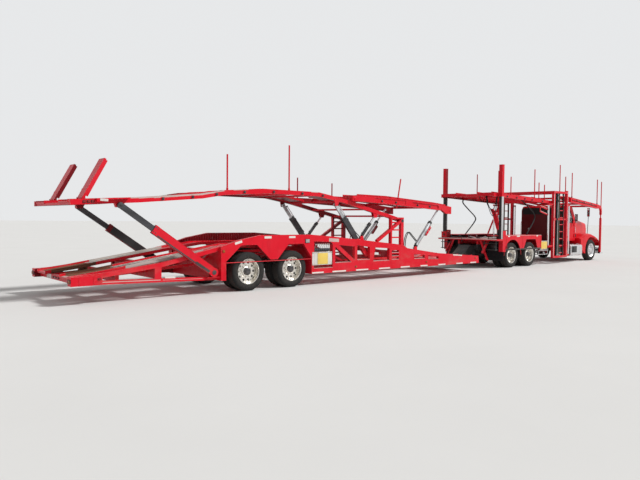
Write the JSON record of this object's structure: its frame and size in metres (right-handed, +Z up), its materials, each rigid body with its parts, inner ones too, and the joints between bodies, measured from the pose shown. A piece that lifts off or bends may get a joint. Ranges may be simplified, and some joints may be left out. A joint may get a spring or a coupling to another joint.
{
  "type": "articulated car transporter truck",
  "caption": "Red articulated car transporter: conventional tractor with its own decks, and a two-deck trailer hinged low down behind the driven axles.",
  "frame": {"origin": "on the ground, at the middle of the whole rig's length and width", "axes": "+X forward, +Y to the left, +Z up"},
  "size_m": [23.5, 2.59, 4.04],
  "materials": {
    "red_paint": "gloss red enamel, chipped and faded on the edges",
    "dark_steel": "black frame paint with road dirt",
    "grey_steel": "greased dark steel",
    "bare_steel": "bare steel, scuffed",
    "worn_plate": "red paint worn to pale grey plate",
    "chrome": "polished",
    "polished_aluminium": "polished",
    "engine_iron": "dirty casting",
    "window_glass": "clear",
    "lamp_glass": "clear lens",
    "trim_plastic": "grained",
    "tyre_rubber": "worn rubber",
    "white_plate": "white tape and plates, dirty at the edges",
    "yellow_plate": "yellow plates, dirty at the edges",
    "marker_lens": "ruby and amber lenses",
    "black_hose": "hydraulic hose"
  },
  "bodies": {
    "tractor": {"chassis_frame": "dark_steel", "hitch_plate": "dark_steel", "drive_axles": "dark_steel", "steer_axle": "dark_steel", "engine_block": "engine_iron", "front_bumper": "chrome", "fuel_tanks": "polished_aluminium", "drive_fenders": "red_paint", "tractor_lower_deck": "dark_steel", "deck_posts": "bare_steel", "lift_towers": "red_paint", "rack_posts": "red_paint", "cab_shell": "red_paint", "cab_glass": "window_glass", "cab_interior": "trim_plastic"},
    "trailer": {"trailer_side_frames": "red_paint", "trailer_floor": "worn_plate", "trailer_axles": "dark_steel", "trailer_posts": "red_paint"},
    "main_deck": {"main_deck": "red_paint"},
    "front_deck": {"front_deck": "red_paint"},
    "ramp_left": {"ramp_left": "red_paint"},
    "ramp_right": {"ramp_right": "red_paint"},
    "rear_arms": {"rear_arms": "red_paint"},
    "rear_arm_bars": {"rear_arm_bars": "grey_steel"},
    "mid_arms": {"mid_arms": "grey_steel"},
    "mid_arm_bars": {"mid_arm_bars": "grey_steel"},
    "mid_cylinders": {"mid_cylinders": "grey_steel"},
    "mid_cylinder_rods": {"mid_cylinder_rods": "chrome"},
    "front_cylinders": {"front_cylinders": "bare_steel"},
    "front_cylinder_rods": {"front_cylinder_rods": "chrome"},
    "tractor_upper_deck": {"tractor_upper_deck": "red_paint"},
    "head_rack": {"head_rack": "red_paint"},
    "hood": {"hood": "red_paint", "grille": "chrome", "headlamps": "lamp_glass"},
    "door_left": {"door_left": "red_paint", "door_glass_left": "window_glass"},
    "door_right": {"door_right": "red_paint", "door_glass_right": "window_glass"},
    "knuckle_left": {"knuckle_left": "dark_steel"},
    "knuckle_right": {"knuckle_right": "dark_steel"},
    "wheel_trailer_1_left": {"wheel_trailer_1_left": "tyre_rubber"},
    "wheel_trailer_1_right": {"wheel_trailer_1_right": "tyre_rubber"},
    "wheel_trailer_2_left": {"wheel_trailer_2_left": "tyre_rubber"},
    "wheel_trailer_2_right": {"wheel_trailer_2_right": "tyre_rubber"},
    "wheel_drive_1_left": {"wheel_drive_1_left": "tyre_rubber"},
    "wheel_drive_1_right": {"wheel_drive_1_right": "tyre_rubber"},
    "wheel_drive_2_left": {"wheel_drive_2_left": "tyre_rubber"},
    "wheel_drive_2_right": {"wheel_drive_2_right": "tyre_rubber"},
    "wheel_steer_left": {"wheel_steer_left": "tyre_rubber"},
    "wheel_steer_right": {"wheel_steer_right": "tyre_rubber"}
  },
  "joints": [
    {"name": "wheel_trailer_1_left_spin", "type": "hinge", "parent": "trailer", "child": "wheel_trailer_1_left", "pos_m": [-7.69, 1.262, 0.46], "axis": [0, 1, 0], "continuous": true},
    {"name": "wheel_trailer_1_right_spin", "type": "hinge", "parent": "trailer", "child": "wheel_trailer_1_right", "pos_m": [-7.69, -1.262, 0.46], "axis": [0, 1, 0], "continuous": true},
    {"name": "wheel_trailer_2_left_spin", "type": "hinge", "parent": "trailer", "child": "wheel_trailer_2_left", "pos_m": [-6.388, 1.262, 0.46], "axis": [0, 1, 0], "continuous": true},
    {"name": "wheel_trailer_2_right_spin", "type": "hinge", "parent": "trailer", "child": "wheel_trailer_2_right", "pos_m": [-6.388, -1.262, 0.46], "axis": [0, 1, 0], "continuous": true},
    {"name": "wheel_drive_1_left_spin", "type": "hinge", "parent": "tractor", "child": "wheel_drive_1_left", "pos_m": [3.965, 1.262, 0.46], "axis": [0, 1, 0], "continuous": true},
    {"name": "wheel_drive_1_right_spin", "type": "hinge", "parent": "tractor", "child": "wheel_drive_1_right", "pos_m": [3.965, -1.262, 0.46], "axis": [0, 1, 0], "continuous": true},
    {"name": "wheel_drive_2_left_spin", "type": "hinge", "parent": "tractor", "child": "wheel_drive_2_left", "pos_m": [5.271, 1.262, 0.46], "axis": [0, 1, 0], "continuous": true},
    {"name": "wheel_drive_2_right_spin", "type": "hinge", "parent": "tractor", "child": "wheel_drive_2_right", "pos_m": [5.271, -1.262, 0.46], "axis": [0, 1, 0], "continuous": true},
    {"name": "knuckle_left_steer", "type": "hinge", "parent": "tractor", "child": "knuckle_left", "pos_m": [10.785, 0.895, 0.46], "axis": [0, 0, 1], "range_deg": [-32, 32]},
    {"name": "wheel_steer_left_spin", "type": "hinge", "parent": "knuckle_left", "child": "wheel_steer_left", "pos_m": [10.785, 1.2, 0.46], "axis": [0, 1, 0], "continuous": true},
    {"name": "knuckle_right_steer", "type": "hinge", "parent": "tractor", "child": "knuckle_right", "pos_m": [10.785, -0.895, 0.46], "axis": [0, 0, 1], "range_deg": [-32, 32]},
    {"name": "wheel_steer_right_spin", "type": "hinge", "parent": "knuckle_right", "child": "wheel_steer_right", "pos_m": [10.785, -1.2, 0.46], "axis": [0, 1, 0], "continuous": true},
    {"name": "trailer_yaw", "type": "hinge", "parent": "tractor", "child": "trailer", "pos_m": [1.51, 0, 0.4], "axis": [0, 0, 1], "range_deg": [-45, 45]},
    {"name": "main_deck_lift", "type": "hinge", "parent": "trailer", "child": "main_deck", "pos_m": [-2.25, 0, 1.69], "axis": [0, 1, 0], "range_deg": [-6, 3]},
    {"name": "front_deck_lift", "type": "hinge", "parent": "main_deck", "child": "front_deck", "pos_m": [-4.24, 0, 2.29], "axis": [0, -1, 0], "range_deg": [-3, 5]},
    {"name": "ramp_left_fold", "type": "hinge", "parent": "main_deck", "child": "ramp_left", "pos_m": [-11.42, 0.891, 2.085], "axis": [0, -1, 0], "range_deg": [0, 125]},
    {"name": "ramp_right_fold", "type": "hinge", "parent": "main_deck", "child": "ramp_right", "pos_m": [-11.42, -0.891, 2.085], "axis": [0, -1, 0], "range_deg": [0, 125]},
    {"name": "rear_arm_turn", "type": "hinge", "parent": "trailer", "child": "rear_arms", "pos_m": [-8.64, 0, 0.49], "axis": [0, 1, 0], "range_deg": [-18.76, 9.88]},
    {"name": "rear_arm_slide", "type": "slide", "parent": "rear_arms", "child": "rear_arm_bars", "axis": [-0.8248, 0, 0.5654], "range_m": [-0.452, 0.236]},
    {"name": "mid_arm_turn", "type": "hinge", "parent": "trailer", "child": "mid_arms", "pos_m": [-4.01, 0, 1.13], "axis": [0, 1, 0], "range_deg": [-10.71, 5.86]},
    {"name": "mid_arm_slide", "type": "slide", "parent": "mid_arms", "child": "mid_arm_bars", "axis": [-0.6406, 0, 0.7679], "range_m": [-0.197, 0.109]},
    {"name": "mid_cylinder_turn", "type": "hinge", "parent": "trailer", "child": "mid_cylinders", "pos_m": [-3.86, 0, 1.205], "axis": [0, 1, 0], "range_deg": [-3.48, 5.97]},
    {"name": "mid_cylinder_slide", "type": "slide", "parent": "mid_cylinders", "child": "mid_cylinder_rods", "axis": [0.6739, 0, 0.7388], "range_m": [-0.105, 0.063]},
    {"name": "front_cylinder_turn", "type": "hinge", "parent": "trailer", "child": "front_cylinders", "pos_m": [-1.506, 0, 0.86], "axis": [0, -1, 0], "range_deg": [-5.31, 8.19]},
    {"name": "front_cylinder_slide", "type": "slide", "parent": "front_cylinders", "child": "front_cylinder_rods", "axis": [0.6884, 0, 0.7253], "range_m": [-0.174, 0.277]},
    {"name": "upper_deck_lift", "type": "slide", "parent": "tractor", "child": "tractor_upper_deck", "axis": [0, 0, 1], "range_m": [-0.45, 0.28]},
    {"name": "head_rack_lift", "type": "slide", "parent": "tractor", "child": "head_rack", "axis": [0, 0, 1], "range_m": [0, 0.3]},
    {"name": "hood_tilt", "type": "hinge", "parent": "tractor", "child": "hood", "pos_m": [11.54, 0, 0.64], "axis": [0, 1, 0], "range_deg": [0, 22]},
    {"name": "door_left_swing", "type": "hinge", "parent": "tractor", "child": "door_left", "pos_m": [9.542, 0.982, 1.365], "axis": [0, 0, -1], "range_deg": [0, 65]},
    {"name": "door_right_swing", "type": "hinge", "parent": "tractor", "child": "door_right", "pos_m": [9.542, -0.982, 1.365], "axis": [0, 0, 1], "range_deg": [0, 65]}
  ],
  "couplings": [
    {"joint": "knuckle_right_steer", "follows": "knuckle_left_steer", "ratio": 1},
    {"joint": "rear_arm_turn", "follows": "main_deck_lift", "ratio": 2.9606},
    {"joint": "rear_arm_slide", "follows": "main_deck_lift", "m_per_rad": 4.1227},
    {"joint": "mid_arm_turn", "follows": "main_deck_lift", "ratio": 1.6182},
    {"joint": "mid_arm_slide", "follows": "main_deck_lift", "m_per_rad": 1.6929},
    {"joint": "mid_cylinder_turn", "follows": "main_deck_lift", "ratio": -0.8283},
    {"joint": "mid_cylinder_slide", "follows": "main_deck_lift", "m_per_rad": 0.8125},
    {"joint": "front_cylinder_turn", "follows": "front_deck_lift", "ratio": 1.4375},
    {"joint": "front_cylinder_slide", "follows": "front_deck_lift", "m_per_rad": 2.9432}
  ]
}
